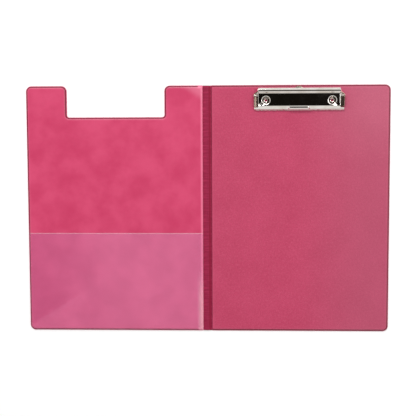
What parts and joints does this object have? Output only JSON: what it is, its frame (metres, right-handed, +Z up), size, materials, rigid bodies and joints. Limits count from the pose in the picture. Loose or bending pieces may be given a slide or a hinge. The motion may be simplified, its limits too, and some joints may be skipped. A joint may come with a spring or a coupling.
{
  "type": "fold-over clipboard",
  "caption": "Fold-over clipboard: vinyl-sealed back board and notched cover joined by a flexible spine, with a sprung lever clamp, slide-out hanging hook and clear inner pocket",
  "frame": {"origin": "Centre of the open clipboard's underside: the middle of the spine, half way up its height, on the surface that it lies on.", "axes": "+X from the cover across the spine to the back board, +Y towards the edge with the clamp, +Z up out of the inner face. Stored open and flat, clamp shut, hook slid in."},
  "size_m": [0.47, 0.32, 0.0125],
  "materials": {
    "cover_vinyl": "smooth soft pink vinyl with a low sheen",
    "grained_vinyl": "pink vinyl with a fine leather grain",
    "spine_vinyl": "darker pink vinyl, finely creased",
    "greyboard": "plain grey chipboard, sealed inside the vinyl",
    "clear_film": "clear vinyl film, slightly milky",
    "plated_steel": "bright nickel-plated pressed steel",
    "spring_steel": "plated drawn spring wire"
  },
  "bodies": {
    "board": {"back_outer_film": "cover_vinyl", "back_greyboard": "greyboard", "back_lining": "grained_vinyl", "clamp_base": "plated_steel", "clamp_eyelets": "plated_steel", "clamp_rod": "plated_steel", "clamp_spring": "spring_steel"},
    "spine": {"spine_outer_film": "spine_vinyl", "spine_lining": "spine_vinyl", "fold_seam_back": "spine_vinyl", "fold_seam_cover": "spine_vinyl"},
    "cover": {"cover_outer_film": "cover_vinyl", "cover_greyboard": "greyboard", "cover_lining": "cover_vinyl", "clear_pocket": "clear_film"},
    "lever": {"clamp_lever": "plated_steel"},
    "hook": {"hanging_hook": "plated_steel"}
  },
  "joints": [
    {"name": "spine_fold", "type": "hinge", "parent": "board", "child": "spine", "pos_m": [0.005, 0, 0.00035], "axis": [0, 1, 0], "range_deg": [-90, 90]},
    {"name": "cover_fold", "type": "hinge", "parent": "spine", "child": "cover", "pos_m": [-0.005, 0, 0.00035], "axis": [0, 1, 0], "range_deg": [-90, 90]},
    {"name": "lever_press", "type": "hinge", "parent": "board", "child": "lever", "pos_m": [0.118, 0.1464, 0.0063], "axis": [-1, 0, 0], "range_deg": [0, 28], "stiffness_Nm_per_rad": 0.5, "springref_deg": -34.38, "deforming": ["clamp_spring"]},
    {"name": "hook_slide", "type": "slide", "parent": "board", "child": "hook", "axis": [0, 1, 0], "range_m": [0, 0.012]}
  ]
}
